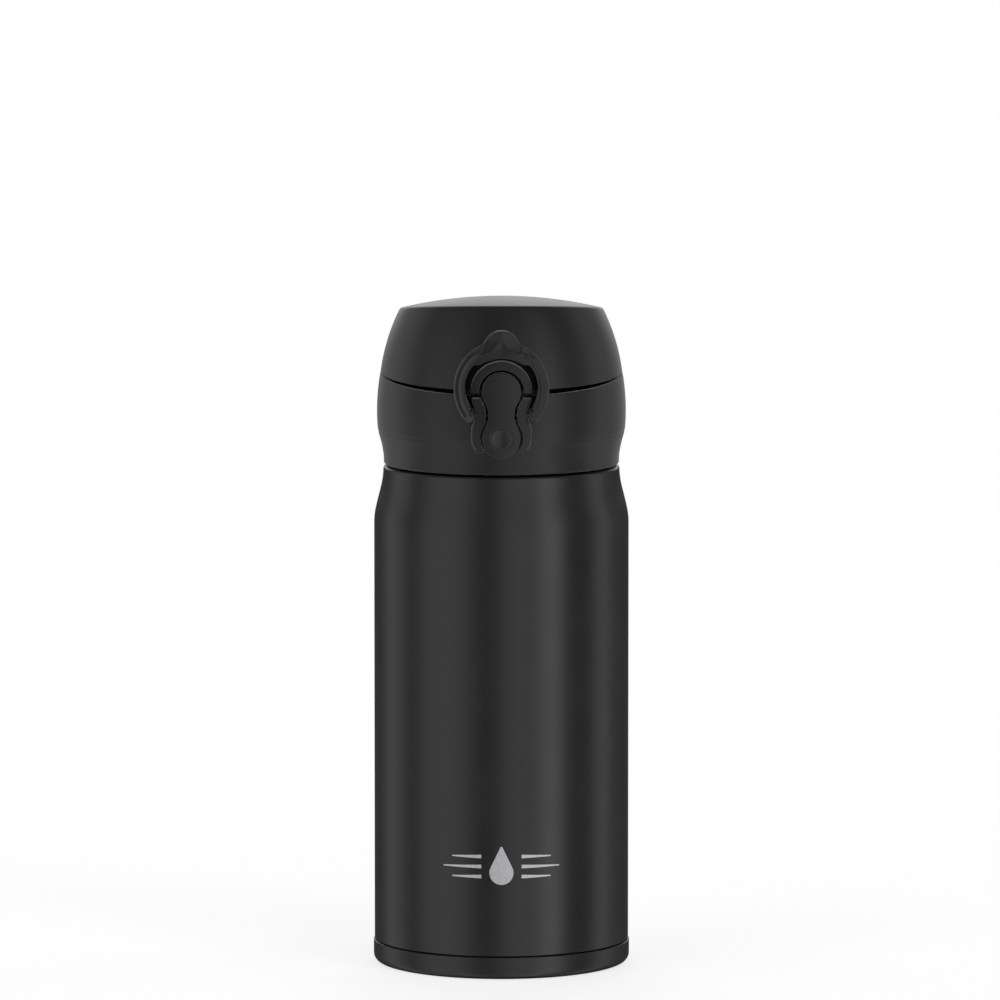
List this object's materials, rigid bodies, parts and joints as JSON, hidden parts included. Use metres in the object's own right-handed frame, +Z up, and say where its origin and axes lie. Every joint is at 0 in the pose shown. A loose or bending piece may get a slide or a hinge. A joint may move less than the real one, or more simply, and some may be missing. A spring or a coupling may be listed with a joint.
{
  "type": "vacuum flask",
  "caption": "Slim vacuum flask with a satin black steel body, a screw-on cap, a hinged flip lid, a keyhole press button and a fold-down lock ring at the front.",
  "frame": {"origin": "centre of the base cover's flat underside, on the axis of the steel body", "axes": "+Z up along the body's axis, the front with the latch faces -Y, the lid's hinge is on the +Y side"},
  "size_m": [0.0666, 0.071, 0.1743],
  "materials": {
    "painted_steel": "satin black paint",
    "bare_steel": "bare stainless steel",
    "foil": "bright foil",
    "getter": "sintered metal",
    "seal_bead": "sealing bead",
    "black_plastic": "fine-grained black moulding",
    "inner_plastic": "smooth dark moulding",
    "silicone": "translucent white silicone",
    "pin_steel": "ground steel pin",
    "spring_steel": "spring wire"
  },
  "bodies": {
    "flask": {"outer_shell": "painted_steel", "inner_vessel": "bare_steel", "foil_wrap": "foil", "getter": "getter", "bottom_plate": "bare_steel", "vacuum_seal": "seal_bead", "base_cover": "black_plastic"},
    "neck_seal": {"stopper_seal": "silicone"},
    "cap": {"collar_shell": "black_plastic", "cap_core": "inner_plastic", "mouthpiece": "inner_plastic", "spout_seal": "silicone", "hinge_pin": "pin_steel", "hinge_spring": "spring_steel", "button_pin": "pin_steel", "button_spring": "spring_steel"},
    "lid": {"lid_cover": "black_plastic", "lid_liner": "inner_plastic", "lid_seal": "silicone"},
    "lock_ring": {"lock_ring": "black_plastic"},
    "button": {"release_button": "black_plastic"}
  },
  "joints": [
    {"name": "cap_lift", "type": "slide", "parent": "flask", "child": "neck_seal", "axis": [0, 0, 1], "range_m": [0, 0.024]},
    {"name": "cap_turn", "type": "hinge", "parent": "neck_seal", "child": "cap", "pos_m": [0, 0, 0.14], "axis": [0, 0, 1], "range_deg": [0, 1080]},
    {"name": "lid_hinge", "type": "hinge", "parent": "cap", "child": "lid", "pos_m": [0, 0.0303, 0.1563], "axis": [-1, 0, 0], "range_deg": [0, 130]},
    {"name": "ring_flip", "type": "hinge", "parent": "cap", "child": "lock_ring", "pos_m": [0, -0.0332, 0.1461], "axis": [1, 0, 0], "range_deg": [0, 140]},
    {"name": "button_press", "type": "hinge", "parent": "cap", "child": "button", "pos_m": [0, -0.0323, 0.1461], "axis": [1, 0, 0], "range_deg": [0, 6], "stiffness_Nm_per_rad": 0.2, "springref_deg": -2.86, "deforming": ["button_spring"]}
  ],
  "couplings": [
    {"joint": "cap_lift", "follows": "cap_turn", "m_per_rad": 0.0012732}
  ]
}
